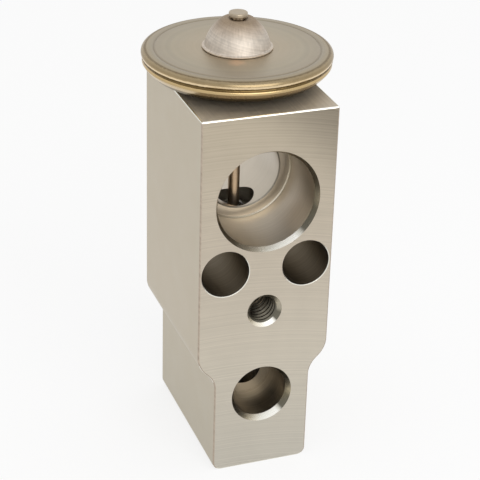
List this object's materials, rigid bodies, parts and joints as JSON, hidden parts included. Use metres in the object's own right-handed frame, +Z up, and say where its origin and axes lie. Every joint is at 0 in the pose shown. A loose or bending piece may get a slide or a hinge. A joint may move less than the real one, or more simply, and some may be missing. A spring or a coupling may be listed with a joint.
{
  "type": "expansion valve",
  "caption": "Block-type thermostatic expansion valve: stepped aluminium block with ports, and a round diaphragm head on top.",
  "frame": {"origin": "on the valve axis (the push rod's line) at the level of the block's foot", "axes": "+Z up along the valve axis, -Y towards the face with the line ports, +Y towards the evaporator, +X to the right when that face is seen"},
  "size_m": [0.0346, 0.0353, 0.0846],
  "materials": {
    "block_aluminium": "machined, with fine lines across the front",
    "head_steel": "satin, turned",
    "tinted_steel": "heat tinted by the edge weld",
    "solder": "bright, mottled",
    "bright_steel": "ground bright",
    "spring_steel": "plain",
    "brass": "turned",
    "seal_rubber": "smooth, lightly oiled"
  },
  "bodies": {
    "housing": {"valve_block": "block_aluminium", "head_cover": "head_steel", "head_base": "tinted_steel", "diaphragm": "bright_steel", "charge_boss": "solder", "charge_plug": "bright_steel", "head_seal": "seal_rubber", "rod_guide": "brass", "rod_seal": "seal_rubber", "seal_washer": "brass", "seal_push_nut": "spring_steel", "valve_seat": "bright_steel", "valve_spring": "spring_steel"},
    "valve_train": {"push_rod": "bright_steel", "stop_plate": "brass", "valve_ball": "bright_steel", "ball_carrier": "brass", "damping_clip": "spring_steel"},
    "adjuster": {"adjusting_nut": "brass", "nut_seal": "seal_rubber"}
  },
  "joints": [
    {"name": "valve_travel", "type": "slide", "parent": "housing", "child": "valve_train", "axis": [0, 0, -1], "range_m": [0, 0.0008], "stiffness_N_per_m": 5000, "springref_m": -0.003, "deforming": ["valve_spring", "diaphragm"]},
    {"name": "adjuster_turn", "type": "hinge", "parent": "housing", "child": "adjuster", "pos_m": [0, 0, 0.0008], "axis": [0, 0, 1], "range_deg": [-180, 180]}
  ]
}
